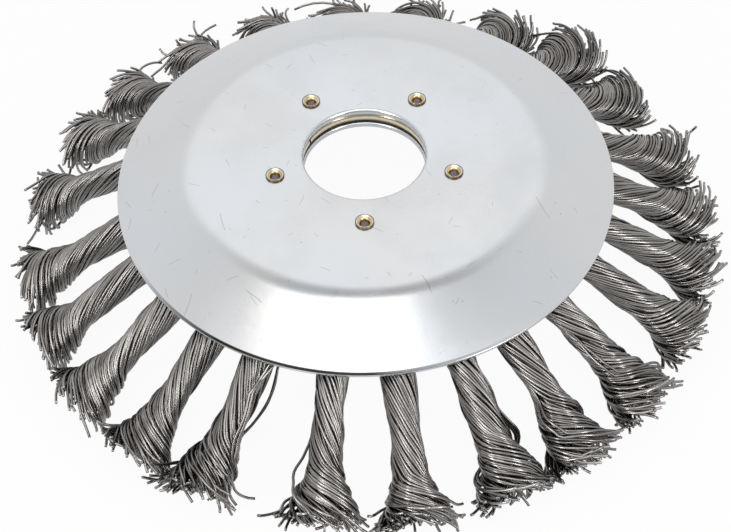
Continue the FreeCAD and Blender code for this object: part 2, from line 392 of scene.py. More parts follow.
def wire_finish(name, dark, light):
    """Drawn steel wire: each has its own tone, a painted highlight along its outer side and painted shade in
    between.
    """
    made, tree, shader = metal(name, 0.3)
    place = node(tree, "UVMap", uv_map="wire").outputs["UV"]
    along, which, _ = split(tree, place)
    crest, depth, _ = split(tree, node(tree, "UVMap", uv_map="crest").outputs["UV"])
    spread = node(tree, "Mapping", {"Vector": place, "Scale": (9.0, 90.0, 1.0)}).outputs["Vector"]
    patches = noise(tree, spread, 1.0, 3.0, 0.6)
    # Painted highlight along each wire's outward crest; the sides away from it get painted shade
    painted_crest_highlight = between(tree, crest, 0.5, 0.96)
    # The wires get lighter towards their tips
    lighter_towards_tips = between(tree, along, 0.93, 1.0)
    shade = maths(tree, "MULTIPLY_ADD", which, 0.55, times(tree, patches, 0.6))
    shade = maths(tree, "ADD", maths(tree, "SUBTRACT", shade, 0.25), times(tree, lighter_towards_tips, 0.25), clamp=True)
    tone = blend(tree, times(tree, shade, maths(tree, "POWER", painted_crest_highlight, 0.8)), dark, light)
    stain = between(tree, noise(tree, spread, 0.45), 0.56, 0.72)
    tone = blend(tree, times(tree, stain, STAIN_SHARE), tone, WIRE_STAIN)
    # Painted shade on the wires' sides and between the wires, fading towards the tips
    painted_groove_shade = times(tree, maths(tree, "SUBTRACT", 1.0, painted_crest_highlight), between(tree, along, 1.05, 0.55))
    tone = blend(tree, painted_groove_shade, tone, WIRE_GROOVE_SHADE)
    # Painted shade on the inner wires of a knot, fading towards the tips
    painted_inner_shade = times(tree, between(tree, depth, 0.75, 0.2), between(tree, along, 0.97, 0.7), INNER_SHADE_SHARE)
    tone = blend(tree, painted_inner_shade, tone, WIRE_INNER_SHADE)
    drawn = node(tree, "Mapping", {"Vector": place, "Scale": (40.0, 900.0, 1.0)}).outputs["Vector"]
    lines = noise(tree, drawn, 1.0)
    coat(tree, shader, tone, (patches, 0.26, 0.08), (lines, 0.12, WIRE_BUMP))
    return made


def painted_core_shade_finish(name):
    """Painted shade for the deep inside of a knot, where hardly any light gets in between the wires."""
    made, tree, shader = metal(name, 0.6)
    specks = noise(tree, node(tree, "TexCoord").outputs["Object"], 1800.0)
    feed(tree, shader, "Base Color", blend(tree, specks, *PACKED_CORE_SHADE))
    return made


# Mesh helpers

class Pile:
    """Points with four shading values each, and faces with a material number, gathered for one mesh."""

    def __init__(self):
        self.points, self.values, self.faces, self.slots = [], [], [], []
        self.count = 0

    def add(self, points, faces, along=0.0, shade=0.0, crest=0.0, depth=0.0, slot=0):
        """Add points in millimetres, and blocks of faces that number them from 0."""
        points = np.asarray(points, float).reshape(-1, 3)
        self.points.append(points)
        values = [np.broadcast_to(value, len(points)) for value in (along, shade, crest, depth)]
        self.values.append(np.stack(values, axis=1))
        for block in faces:
            self.faces.append(np.asarray(block) + self.count)
            self.slots.append(np.full(len(block), slot))
        self.count += len(points)

    def mesh(self, name):
        """Smooth mesh in metres, with the shading values as UV maps if there are any."""
        points = np.concatenate(self.points) * MM
        corners = np.concatenate([block.ravel() for block in self.faces])
        sizes = np.concatenate([np.full(len(block), block.shape[1]) for block in self.faces])
        made = bpy.data.meshes.new(name)
        made.vertices.add(len(points))
        made.vertices.foreach_set("co", points.astype(np.float32).ravel())
        made.loops.add(len(corners))
        made.loops.foreach_set("vertex_index", corners.astype(np.int32))
        made.polygons.add(len(sizes))
        made.polygons.foreach_set("loop_start", (np.cumsum(sizes) - sizes).astype(np.int32))
        made.polygons.foreach_set("material_index", np.concatenate(self.slots).astype(np.int32))
        made.update(calc_edges=True)
        values = np.concatenate(self.values)[corners].astype(np.float32)
        for label, first in (("wire", 0), ("crest", 2)) if values.any() else ():
            layer = made.uv_layers.new(name=label)
            layer.uv.foreach_set("vector", values[:, first:first + 2].ravel())
        made.validate()
        made.shade_smooth()
        return made


def placed(name, data):
    """New object in the scene."""
    made = bpy.data.objects.new(name, data)
    bpy.context.scene.collection.objects.link(made)
    return made


def add_piece(name, mesh, materials, node_name):
    """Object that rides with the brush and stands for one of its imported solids."""
    for material in materials:
        mesh.materials.append(material)
    piece = placed(name, mesh)
    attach(piece, BODY)
    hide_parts(node_name)


def rounded_outline(corners, steps):
    """Closed outline of (radius, height) points from (radius, height, rounding) corners."""
    points = []
    for index, (radius, height, rounding) in enumerate(corners):
        here = np.array((radius, height), float)
        if rounding == 0:
            points.append(here)
            continue
        sides = [np.array(corners[other % len(corners)][:2]) - here for other in (index - 1, index + 1)]
        back, ahead = [side / np.linalg.norm(side) for side in sides]
        half = math.acos(float(np.clip(back @ ahead, -1, 1))) / 2
        middle = (back + ahead) / np.linalg.norm(back + ahead)
        centre = here + middle * rounding / math.sin(half)
        first, last = [here + side * rounding / math.tan(half) - centre for side in (back, ahead)]
        sweep = math.pi - 2 * half
        for share in np.linspace(0, 1, steps):
            arc = (math.sin((1 - share) * sweep) * first + math.sin(share * sweep) * last) / math.sin(sweep)
            points.append(centre + arc)
    return points


def turned(line, segments, closed=True, start=0.0, sweep=FULL_TURN):
    """Points and faces of a line turned about Z, with end caps if it isn't a full turn."""
    line = np.array(line, float)
    rows = len(line)
    full = sweep == FULL_TURN
    columns = segments if full else segments + 1
    angles = start + sweep * np.arange(columns) / segments
    height = np.broadcast_to(line[:, 1], (columns, rows))
    flat = [np.outer(np.cos(angles), line[:, 0]), np.outer(np.sin(angles), line[:, 0])]
    points = np.stack([*flat, height], axis=2).reshape(-1, 3)
    column = np.arange(segments)[:, None]
    here = column * rows
    side = (column + 1) % columns * rows
    row = np.arange(rows if closed else rows - 1)[None, :]
    above = (row + 1) % rows
    faces = [np.stack([here + row, side + row, side + above, here + above], axis=2).reshape(-1, 4)]
    if not full:
        faces.append(np.arange(rows)[None, :])
        faces.append((np.arange(rows) + segments * rows)[None, ::-1])
    return points, faces


def outwards(mesh, weld=False):
    """Turn every face to the outside and part the shading at sharp edges. A weld joins points that meet."""
    shell = bmesh.new()
    shell.from_mesh(mesh)
    if weld:
        bmesh.ops.remove_doubles(shell, verts=shell.verts, dist=WELD_REACH)
        bmesh.ops.dissolve_degenerate(shell, edges=shell.edges, dist=WELD_REACH)
    bmesh.ops.recalc_face_normals(shell, faces=shell.faces)
    shell.to_mesh(mesh)
    shell.free()
    mesh.set_sharp_from_angle(angle=SHARP_ANGLE)
    return mesh


def rivet_places():
    """Centres of the rivets on their circle."""
    azimuths = [RIVET_AZIMUTH + index * FULL_TURN / RIVET_COUNT for index in range(RIVET_COUNT)]
    return [RIVET_CIRCLE * np.array([math.cos(azimuth), math.sin(azimuth), 0]) for azimuth in azimuths]


def drilled(mesh):
    """Mesh with the ring of rivet holes cut through it."""
    pins = Pile()
    radius = RIVET_SHANK + DRILL_PLAY
    points, faces = turned([(0, DRILL_TOP), (radius, DRILL_TOP), (radius, DRILL_FOOT), (0, DRILL_FOOT)], 32)
    for place in rivet_places():
        pins.add(points + place, faces)
    cutter = placed("rivet_drill", outwards(pins.mesh("rivet_drill"), weld=True))
    blank = placed("cover_blank", mesh)
    cut = blank.modifiers.new("rivet_holes", "BOOLEAN")
    cut.operation = "DIFFERENCE"
    cut.object = cutter
    cut.solver = "EXACT"
    depsgraph = bpy.context.evaluated_depsgraph_get()
    result = bpy.data.meshes.new_from_object(blank.evaluated_get(depsgraph))
    for made in (cutter, blank):
        bpy.data.objects.remove(made)
    result.shade_smooth()
    result.set_sharp_from_angle(angle=SHARP_ANGLE)
    return result


# Plates, ring and rivets

def sheet_outline(top, rounds, steps):
    """Section of a sheet from the (radius, height) points of its upper side and the roundings all round."""
    falls = [math.atan2(here[1] - after[1], after[0] - here[0]) for here, after in zip(top, top[1:])]
    low = []
    for (radius, height), before, after in zip(top, falls[:1] + falls, falls + falls[-1:]):
        middle = (before + after) / 2
        reach = SHEET / math.cos((after - before) / 2)
        low.append((radius - reach * math.sin(middle), height - reach * math.cos(middle)))
    corners = [(*point, rounding) for point, rounding in zip(top + low[::-1], rounds)]
    return rounded_outline(corners, steps)


def top_cover_outline(sizes):
    """Section of the wide cover with its soft bend and rolled edges."""
    top = [(BORE_RADIUS, 0), (CREASE_RADIUS, 0), (RIM_RADIUS, RIM_HEIGHT)]
    rounds = (sizes.bore_round / MM, CREASE_ROUND, sizes.rim_round / MM, 0.15, CREASE_ROUND - SHEET, 0.12)
    return sheet_outline(top, rounds, 9)


def lower_cover_outline():
    """Section of the smaller cover under the knots."""
    leg_bottom = FLANGE_MIDDLE - FLANGE_HALF - LEG_THICKNESS
    neck_bottom = AXIS_AT_CREASE - (LOWER_RIM_RADIUS - CREASE_RADIUS) * math.tan(KNOT_SLOPE) - NECK_DROP
    top = [(BORE_RADIUS, FLANGE_MIDDLE), (HUB_RADIUS - 1, FLANGE_MIDDLE),
           (STEP_FOOT, leg_bottom - LOWER_COVER_GAP), (LOWER_RIM_RADIUS, neck_bottom - LOWER_COVER_GAP)]
    return sheet_outline(top, (0.3, 0.4, 0.8, 0.3, 0.3, 0.5, 0.8, 0.3), 6)


def rivet_sections():
    """Lines of a tubular rivet from the cup to the lower head, as (radius, height) points by finish."""
    top, foot = RIVET_TOP, RIVET_BOTTOM
    core = [(0, -0.26), (0.4, -0.29), (0.7, -0.39), (0.88, -0.52), (0.95, -0.64)]
    bowl = [(0.95, -0.64), (0.98, -0.4), (1.04, -0.13), (1.12, -0.02), (1.3, 0.1), (1.5, 0.21)]
    lip = [(1.5, 0.21), (1.6, 0.275), (1.7, 0.325), (1.76, 0.35)]
    # outer wall, which takes the dark brown painted shade
    side = [(1.76, 0.35), (1.82, 0.385), (1.88, top - 0.05), (1.92, top - 0.08), (1.94, top - 0.18),
            (1.92, 0.1), (1.87, 0.0), (RIVET_SHANK, 0.0)]
    head = [(RIVET_SHANK, 0.0), (RIVET_SHANK, -STACK_HEIGHT), (2.8, -STACK_HEIGHT),
            (2.89, -STACK_HEIGHT - 0.12), (2.86, foot + 0.35), (2.7, foot + 0.14), (2.4, foot + 0.03),
            (1.9, foot), (0, foot)]
    return core, bowl, lip, side, head


def make_rivet_mesh():
    """Ring of five rivets with their cups."""
    pile = Pile()
    for place in rivet_places():
        for slot, line in enumerate(rivet_sections()):
            points, faces = turned(line, 40, closed=False)
            pile.add(points + place, faces, slot=slot)
    return outwards(pile.mesh("rivets_rolled"), weld=True)


def make_spacer_mesh():
    """Split hoop with round inner edges and a tight butt joint."""
    inner = BORE_RADIUS + SPACER_RECESS
    outer = inner + SPACER_WIDTH
    corners = [(inner, -SHEET, SPACER_ROUND), (outer, -SHEET, SPACER_EDGE),
               (outer, FLANGE_MIDDLE, SPACER_EDGE), (inner, FLANGE_MIDDLE, SPACER_ROUND)]
    gap = SPACER_GAP_HALF / inner
    start = SPACER_GAP_AZIMUTH + gap
    pile = Pile()
    pile.add(*turned(rounded_outline(corners, 8), 180, start=start, sweep=FULL_TURN - 2 * gap))
    return outwards(pile.mesh("spacer_ring_bent"))


# Wire knots

# Shares of a knot's radius from which its wires lie in the outer and in the middle layer
OUTER_LAYER = 0.84
MIDDLE_LAYER = 0.6

# Sides and spans of a wire in the outer, middle and inner layer. The spans gather towards the tip
WIRE_MESHES = ((7, 44), (5, 28), (4, 14))
SPAN_GATHER = 1.15
INNER_LEAD = 1.5

# Pitch of packed wires round a ring and between rings, in wires
ROUND_PITCH = 1.03
RING_PITCH = 0.97

# Neck: blend from the legs, start of the tighter lay, and a slight waist (share, place and run)
LEG_BLEND = 5.0
LAY_CHANGE = 14
WAIST = (0.07, 26, 7.0)
LOBE_ROUND = 1.3

# Flare: powers by which it opens and slows the way, start of its fraying, and reach past the tip
OPENING = 1.5
SLOWING = 1.6
FRAY_START = 0.66
OVERRUN = 1.2
WAY_MARGIN = 1.15
WAY_STEPS = 520

# Strays at the tip: share of the wires, extra length and wildness. Ends of the others, as a share of the way
STRAY_SHARE = 0.08
STRAY_LENGTH = 3.0
STRAY_WILDNESS = 1.6
END_SPREAD = 0.02

# Wires that cross the others: share of the wires, spread of turn, and lift
CROSSING_SHARE = 0.07
CROSSING_TURN = 0.35
CROSSING_LIFT = 0.3

# Locks at the tip: number (from, below), reach ahead (mean, spread), ranges of reach outwards and gathering
LOCK_COUNTS = (10, 15)
LOCK_AHEAD = (0.2, 0.6)
LOCK_OUT = (-0.2, 1.4)
LOCK_GATHER = (0.15, 0.5)

# Wires in a lock: spread of reach ahead, range of reach outwards, spread of turn, and waves (length, height)
WIRE_AHEAD = 0.6
WIRE_OUT = (-0.2, 1.5)
WIRE_TURN = 0.16
WAVE_OUT = (14, 0.08)
WAVE_ROUND = (18, 0.05)

# Dark core of a strand: its share of the radius, and how much less at the tip
CORE_SIZE = 0.83
CORE_TAPER = 0.6

# Loop round the flange: share of its way in each leg, distances of its layers, columns and spans
LOOP_LEG = 0.22
LOOP_LAYERS = (0.35, 1.1)
LOOP_COLUMNS = 7
LOOP_SPANS = 12

# Knots that the photo shows as odd. Loose wires have their side (radians from the knot's +azimuth side),
# start, run, bulge and number
ODD_KNOTS = {
    1: {"wide": 8.5, "flare_run": 13.0, "swirl": 2.0},
    2: {"wide": 8.4, "flare_run": 13.5, "swirl": 1.9},
    3: {"wide": 8.4, "flare_run": 14.0, "swirl": 1.9},
    4: {"wide": 8.8, "tall": 6.8, "shift": (0.6, 2.2), "flare_run": 15.0, "swirl": 2.1, "ragged": 1.3},
    5: {"wide": 8.0, "flare_run": 13.0, "swirl": 1.9},
    6: {"wide": 7.0, "tall": 5.0, "flare_run": 9.0, "swirl": 1.2, "ragged": 1.7, "shift": (0.0, -0.9)},
    7: {"wide": 6.7, "tall": 4.8, "flare_run": 9.0, "swirl": 1.1, "ragged": 1.8, "shift": (0.0, -1.3)},
    8: {"wide": 7.2, "tall": 5.0, "flare_run": 9.0, "swirl": 1.2, "ragged": 1.6, "shift": (0.0, -0.6)},
    9: {"wide": 7.4, "tall": 5.2, "flare_run": 10.0, "swirl": 1.4, "ragged": 1.5, "shift": (0.0, -0.5)},
    17: {"shift": (-1.6, 0.0), "loose": [(0.0, 12.0, 26.0, 2.2, 4), (0.5, 8.0, 16.0, 1.0, 3)], "groove": 0.3,
         "flare_run": 11.5, "ragged": 1.5},
    18: {"loose": [(math.pi * 0.97, 28.0, 26.0, 3.5, 1)], "flare_run": 11.0},
    19: {"flare_run": 8.4, "swirl": 1.9, "ragged": 1.5, "shift": (1.2, 0.0)},
    20: {"loose": [(0.1, 27.0, 15.0, 1.9, 4)], "groove": 0.3, "flare_run": 13.0, "phase": 0.9},
    21: {"flare_run": 14.0, "loose": [(math.pi * 0.95, 28.0, 14.0, 1.2, 2)]},
    22: {"flare_run": 14.0, "loose": [(0.1, 20.0, 12.0, 0.8, 2), (math.pi * 0.95, 24.0, 13.0, 0.7, 2)]},
}


def unit(value):
    """Value kept from 0 to 1."""
    return np.clip(value, 0, 1)


def eased(share):
    """Share from 0 to 1 with a soft start and end."""
    return share * share * (3 - 2 * share)


def knot_character(index, rng, sizes):
    """What sets one knot apart from the next: its size, twist, groove, bow and loose wires."""
    made = {
        "lean": math.radians(KNOT_LEAN[index % len(KNOT_LEAN)]),
        "neck": sizes.neck / MM / 2 * rng.uniform(0.95, 1.04),
        "wide": sizes.flare_width / MM / 2 * rng.uniform(0.95, 1.04),
        "tall": sizes.flare_height / MM / 2 * rng.uniform(0.96, 1.06),
        "flare_run": rng.uniform(9.0, 12.5),
        "lay": math.radians(rng.uniform(15, 22)),
        "late_lay": math.radians(rng.uniform(30, 38)),
        "swirl": rng.uniform(1.35, 1.85),
        "groove": rng.uniform(0.12, 0.24),
        "phase": math.pi / 2 + rng.uniform(-0.5, 0.5),
        "bow": (rng.normal(0, 0.45), rng.normal(0, 0.35)),
        "shift": (rng.normal(0, 0.4), 0.0),
        "ragged": rng.uniform(0.85, 1.2),
        "loose": [],
    }
    made.update(ODD_KNOTS.get(index + 1, {}))
    return made


def axis_frames(reach, knot):
    """Centre, sideways and upward directions of a knot's axis, at distances along it from the flange."""
    reach = np.asarray(reach, float)
    root = np.minimum(reach, ROOT_RUN) / ROOT_RUN
    beyond = np.maximum(reach - ROOT_RUN, 0)
    radius = BODY_START + (CREASE_RADIUS - BODY_START) * root + beyond * math.cos(KNOT_SLOPE)
    height = FLANGE_MIDDLE + (AXIS_AT_CREASE - FLANGE_MIDDLE) * root - beyond * math.sin(KNOT_SLOPE)
    turn = knot["lean"] * eased(unit((radius - BODY_START) / LEAN_RUN))
    free = unit(beyond / (BODY_LENGTH - ROOT_RUN))
    bowed = np.sin(math.pi * free) ** 2
    tilt = KNOT_SLOPE * root
    cosine, sine = np.cos(turn), np.sin(turn)
    side = np.stack([-sine, cosine, np.zeros_like(turn)], axis=-1)
    up = np.stack([np.sin(tilt) * cosine, np.sin(tilt) * sine, np.cos(tilt)], axis=-1)
    centre = np.stack([radius * cosine, radius * sine, height], axis=-1)
    centre += (knot["bow"][0] * bowed + knot["shift"][0] * free ** 3)[..., None] * side
    centre += (knot["bow"][1] * bowed + knot["shift"][1] * free ** 2)[..., None] * up
    return centre, side, up


class Rope:
    """Path of the wires of one knot. The way along it runs 1:1 in the neck, and slows down in the flare."""

    def __init__(self, knot):
        self.knot = knot
        self.flare_start = BODY_LENGTH - knot["flare_run"]
        self.length = self.flare_start + 2 * knot["flare_run"]
        way = np.linspace(0, self.length * WAY_MARGIN, WAY_STEPS)
        spread = self.spread(way)
        late = unit((way - LAY_CHANGE) / (self.flare_start - LAY_CHANGE))
        lay = knot["lay"] + (knot["late_lay"] - knot["lay"]) * late
        rate = np.tan(lay) / knot["neck"] * (1 - 0.8 * np.minimum(1.6 * spread, 1))
        swirl = np.sin(math.pi * unit(spread) ** 0.62)
        rate += knot["swirl"] * 1.85 * swirl / (2 * knot["flare_run"])
        self.way = way
        self.turned = knot["phase"] - np.concatenate([[0], np.cumsum(rate[1:] * np.diff(way))])

    def spread(self, way):
        """0 in the neck and 1 at the tip."""
        return np.clip((way - self.flare_start) / (2 * self.knot["flare_run"]), 0, OVERRUN)

    def turn(self, way):
        """Angle by which the section has turned."""
        return np.interp(way, self.way, self.turned)

    def place(self, way, share, angle, axial=0.0, radial=0.0):
        """Points at a share of the radius and an angle in the turning section, with outward directions."""
        knot = self.knot
        spread = self.spread(way)
        left = 1 - np.minimum(spread, 1)
        slowed = self.flare_start + knot["flare_run"] * (1 - left ** SLOWING)
        reach = np.where(way < self.flare_start, way, slowed) + axial
        grown = 1 - left ** OPENING
        depth, middle, run = WAIST
        waist = 1 - depth * np.exp(-((way - middle) / run) ** 2)
        wide = knot["neck"] * waist + (knot["wide"] - knot["neck"]) * grown
        tall = knot["neck"] * waist + (knot["tall"] - knot["neck"]) * grown
        facing = np.abs(np.cos(angle))
        lobes = 1 - knot["groove"] * unit(1 - spread) * (1 - facing) ** LOBE_ROUND
        around = angle + self.turn(way)
        across = (wide * share * lobes + radial) * np.cos(around)
        upright = (tall * share * lobes + radial * tall / wide) * np.sin(around)
        root = eased(unit(way / LEG_BLEND))
        leg_side = share * np.sin(angle) * HOLE_HALF * 0.92
        leg_up = np.sign(np.cos(angle)) * (FLANGE_HALF + 0.2 + LEG_THICKNESS * 0.8 * share * facing)
        across = leg_side * (1 - root) + across * root
        upright = leg_up * (1 - root) + upright * root
        centre, side, up = axis_frames(reach, knot)
        offset = across[..., None] * side + upright[..., None] * up
        size = np.linalg.norm(offset, axis=-1, keepdims=True)
        return centre + offset, offset / np.maximum(size, 1e-6)


def skin(count, rings, sides):
    """Walls and ends of tubes that have rings of points."""
    first = np.arange(count)[:, None, None] * rings * sides
    ring = first + np.arange(rings - 1)[:, None] * sides
    here = np.arange(sides)
    after = (here + 1) % sides
    walls = np.stack([ring + here, ring + after, ring + after + sides, ring + here + sides], axis=-1)
    ends = np.concatenate([first[:, 0] + here[::-1], first[:, 0] + (rings - 1) * sides + here])
    return [walls.reshape(-1, 4), ends]


def tubes(paths, outward, radius, sides):
    """Points and faces of closed round wires along paths, and how far each point faces outward."""
    wires, rings = paths.shape[:2]
    along = np.gradient(paths, axis=1)
    along /= np.linalg.norm(along, axis=2, keepdims=True)
    first = outward - np.sum(outward * along, axis=2, keepdims=True) * along
    first /= np.maximum(np.linalg.norm(first, axis=2, keepdims=True), 1e-9)
    second = np.cross(along, first)
    angles = FULL_TURN * np.arange(sides) / sides
    around = np.cos(angles)[:, None] * first[:, :, None] + np.sin(angles)[:, None] * second[:, :, None]
    points = paths[:, :, None] + radius * around
    crest = np.tile((1 + np.cos(angles)) / 2, wires * rings)
    return points.reshape(-1, 3), skin(wires, rings, sides), crest


def packed_rings(neck, wire, rng):
    """Places of the wires over the section, in rings one wire apart, as shares of the radius and angles."""
    shares, angles = [], []
    radius = neck - wire / 2
    while radius > 0.4 * wire:
        count = max(3, int(FULL_TURN * radius / (wire * ROUND_PITCH)))
        angle = (np.arange(count) + rng.uniform()) * FULL_TURN / count
        angles.append(angle + rng.normal(0, 0.18, count) * wire / radius)
        shares.append((radius + rng.normal(0, 0.07, count) * wire) / neck)
        radius -= RING_PITCH * wire
    angle = np.concatenate(angles)
    return np.concatenate(shares), np.mod(angle + math.pi, FULL_TURN) - math.pi


def slow_noise(rng, way, length, amount):
    """Smooth random wander of each wire along its way."""
    each = (len(way), 1)
    result = np.zeros_like(way)
    for wave, part in ((length, 0.65), (length * 0.45, 0.35)):
        phase = rng.uniform(0, FULL_TURN, each)
        stretch = rng.uniform(0.7, 1.4, each)
        result += part * np.sin(way * stretch * FULL_TURN / wave + phase)
    return result * amount


def loosened(rope, rng, way, angle, share):
    """Outward bulge and held-back twist of the outer wires that have come loose on one side of the knot."""
    bulge = np.zeros_like(way)
    held = np.zeros_like(way)
    if share.max() < OUTER_LAYER:
        return bulge, held
    for side, start, run, height, count in rope.knot["loose"]:
        offset = np.mod(angle + rope.turn(start) - side + math.pi, FULL_TURN) - math.pi
        for index in np.argsort(np.abs(offset))[:count]:
            part = unit((way[index] - start) / run)
            bulge[index] += height * rng.uniform(0.82, 1.0) * np.sin(math.pi * part) ** 2 + 0.35 * part
            inside = np.clip(way[index], start, start + run)
            held[index] -= 0.75 * (rope.turn(inside) - rope.turn(start))
    return bulge, held


def add_wires(pile, rope, rng, share, angle, sides, spans, start, radius):
    """Wires from a start along the rope to their ragged ends, where they gather in locks."""
    ragged = rope.knot["ragged"]
    each = (len(share), 1)
    share, angle = share[:, None], angle[:, None]
    end = rope.length * (1 - np.abs(rng.normal(0, END_SPREAD, each)) * ragged)
    stray = rng.random(each) < STRAY_SHARE * ragged
    end += stray * rng.uniform(0, STRAY_LENGTH, each)
    way = start + (end - start) * (1 - (1 - np.linspace(0, 1, spans + 1)) ** SPAN_GATHER)
    spread = rope.spread(way)
    flared = unit(spread) ** 2
    fringe = np.clip((spread - FRAY_START) / (1 - FRAY_START), 0, 1.4) ** 1.6
    locks = rng.integers(*LOCK_COUNTS)
    lock = np.floor((angle + math.pi) / FULL_TURN * locks).astype(int) % locks
    middle = (lock + 0.5) / locks * FULL_TURN - math.pi
    ahead, uneven = LOCK_AHEAD
    lock_axial = rng.normal(ahead, uneven * ragged, locks)[lock]
    lock_radial = rng.uniform(*LOCK_OUT, locks)[lock]
    wild = 1 + STRAY_WILDNESS * stray
    axial = (lock_axial + rng.normal(0, WIRE_AHEAD, each) * ragged) * flared
    radial = slow_noise(rng, way, *WAVE_OUT)
    radial += lock_radial * ragged * share * fringe
    frayed = rng.uniform(*WIRE_OUT, each) * share + rng.normal(0, 0.25, each)
    radial += frayed * wild * ragged * fringe
    drift = slow_noise(rng, way, *WAVE_ROUND) + rng.normal(0, WIRE_TURN, each) * ragged * spread
    drift += (middle - angle) * rng.uniform(*LOCK_GATHER, each) * flared
    drift += rng.normal(0, 0.13, each) * wild * ragged * fringe
    crossing = rng.random(each) < CROSSING_SHARE
    drift += crossing * rng.normal(0, CROSSING_TURN, each) * way / rope.length
    radial += crossing * CROSSING_LIFT * np.sin(math.pi * unit(way / rope.length))
    bulge, held = loosened(rope, rng, way, angle[:, 0], share)
    mixed = share + rng.uniform(-0.12, 0.14, each) * unit(spread * 1.6)
    paths, outward = rope.place(way, mixed, angle + drift + held, axial, radial + bulge)
    lowest = FLOOR_HEIGHT / MM + radius
    paths[..., 2] = np.maximum(paths[..., 2], lowest + 0.15 * rng.random(each))
    points, faces, crest = tubes(paths, outward, radius, sides)
    values = (way / rope.length, rng.random(each), share)
    along, shade, depth = [np.broadcast_to(value, way.shape).repeat(sides) for value in values]
    pile.add(points, faces, along, shade, crest, depth)


def add_cores(pile, rope):
    """Filling of the two strands in painted shade, so that no light shows through between the wires."""
    flare_middle = rope.flare_start + rope.knot["flare_run"]
    flare = np.linspace(rope.flare_start + 1.5, flare_middle, 6)
    way = np.concatenate([np.linspace(0.6, rope.flare_start, 12), flare])[:, None]
    half = 0.995 * np.linspace(-math.pi / 2, math.pi / 2, 9)
    for flip in (0.0, math.pi):
        ways, angle = np.broadcast_arrays(way, half + flip)
        points, _ = rope.place(ways, CORE_SIZE - CORE_TAPER * rope.spread(way), angle)
        pile.add(points, skin(1, len(way), len(half)), slot=1)


def add_flange_loop(pile, rng, radius):
    """Wires that loop through the holder's hole and join the two strands, around the flange's rim."""
    turn = np.linspace(0, 1, LOOP_SPANS + 1)
    angle = math.pi * unit((turn - LOOP_LEG) / (1 - 2 * LOOP_LEG))
    straight = np.maximum(np.maximum(LOOP_LEG - turn, turn - 1 + LOOP_LEG), 0) / LOOP_LEG
    rows = []
    for depth in LOOP_LAYERS:
        for column in np.linspace(-1, 1, LOOP_COLUMNS):
            x = HOLE_CIRCLE + HOLE_HALF - (0.3 + 1.9 * depth) * np.sin(angle)
            x = x + straight * (BODY_START + 1.2 - HOLE_CIRCLE - HOLE_HALF)
            y = np.full_like(x, column * (HOLE_HALF - 0.28)) + rng.normal(0, 0.04)
            z = FLANGE_MIDDLE + (FLANGE_HALF + depth) * np.cos(angle)
            rows.append(np.stack([x, y, z], axis=1))
    paths = np.array(rows)
    points, faces, crest = tubes(paths, np.broadcast_to((0.0, 1.0, 0.0), paths.shape), radius, 4)
    shade = np.repeat(rng.random(len(paths)), paths.shape[1] * 4)
    pile.add(points, faces, 0.0, shade, crest, 0.5)


def make_knot_mesh(index, sizes):
    """Two strands of wire twisted together, flared and frayed at the tip."""
    rng = np.random.default_rng(sizes.seed * 1000 + index)
    rope = Rope(knot_character(index, rng, sizes))
    radius = sizes.wire / MM / 2
    share, angle = packed_rings(rope.knot["neck"], 2 * radius, rng)
    pile = Pile()
    add_flange_loop(pile, rng, radius)
    add_cores(pile, rope)
    outer = share > OUTER_LAYER
    inner = share <= MIDDLE_LAYER
    layers = ((outer, 0.0), (~outer & ~inner, 0.0), (inner, rope.flare_start - INNER_LEAD))
    for (chosen, start), (sides, spans) in zip(layers, WIRE_MESHES):
        add_wires(pile, rope, rng, share[chosen], angle[chosen], sides, spans, start, radius)
    mesh = pile.mesh("wires")
    mesh.transform(Matrix.Rotation(FIRST_KNOT_AZIMUTH + index * STEP, 4, "Z"))
    return mesh


# Stage

PHOTO_WIDTH = 731
PHOTO_FOCAL = 1500.0
SENSOR = 36.0
CAMERA_TILT = math.radians(50.004)
CAMERA_ROLL = math.radians(-2.149)
CAMERA_PLACE = (-0.000622, -0.217174, 0.222521)

# White that the floor shows to the camera and in the metal, its own grey, half its width and its gap below
FLOOR_SHOWN = 0.94
FLOOR_MIRRORED = 0.45
FLOOR_GREY = 0.83
FLOOR_HALF = 1.5
FLOOR_GAP = 0.0001

# Light of the room: on plain surfaces, and in the metal
ROOM_FILL = 0.7
ROOM_MIRRORED = 0.28
WINDOW = 1.08

# Lamps: name, place, size, power and colour
LAMPS = (("overhead_left", (-0.225, -0.12, 0.6), (0.17, 0.2), 0.14, (1.0, 0.95, 0.86)),
         ("overhead_softbox", (-0.01, -0.175, 0.6), (0.2, 0.35), 0.4, (0.97, 0.98, 1.0)),
         ("left_strip", (-0.37, -0.39, 0.26), (0.10, 0.34), 0.8, (1.0, 1.0, 1.0)),
         ("right_strip", (0.37, -0.39, 0.26), (0.10, 0.34), 0.8, (1.0, 1.0, 1.0)))


def make_camera():
    """Camera at the photograph's viewing angle."""
    lens = bpy.data.cameras.new("photo_camera")
    lens.sensor_width = SENSOR
    lens.lens = PHOTO_FOCAL * SENSOR / PHOTO_WIDTH
    lens.clip_start = 0.01
    lens.clip_end = 20.0
    up = Vector((0, math.sin(CAMERA_TILT), math.cos(CAMERA_TILT)))
    back = Vector((0, -math.cos(CAMERA_TILT), math.sin(CAMERA_TILT)))
    right = Vector((1, 0, 0))
    rolled_right = math.cos(CAMERA_ROLL) * right + math.sin(CAMERA_ROLL) * up
    rolled_up = -math.sin(CAMERA_ROLL) * right + math.cos(CAMERA_ROLL) * up
    facing = Matrix((rolled_right, rolled_up, back)).transposed()
    camera = placed("photo_camera", lens)
    camera.matrix_world = Matrix.Translation(CAMERA_PLACE) @ facing.to_4x4()
    bpy.context.scene.camera = camera


def seen_by(tree):
    """Masks of the camera's own rays, and of those that metal or glass turned."""
    path = node(tree, "LightPath").outputs
    return path["Is Camera Ray"], maths(tree, "MAXIMUM", path["Is Glossy Ray"], path["Is Transmission Ray"])


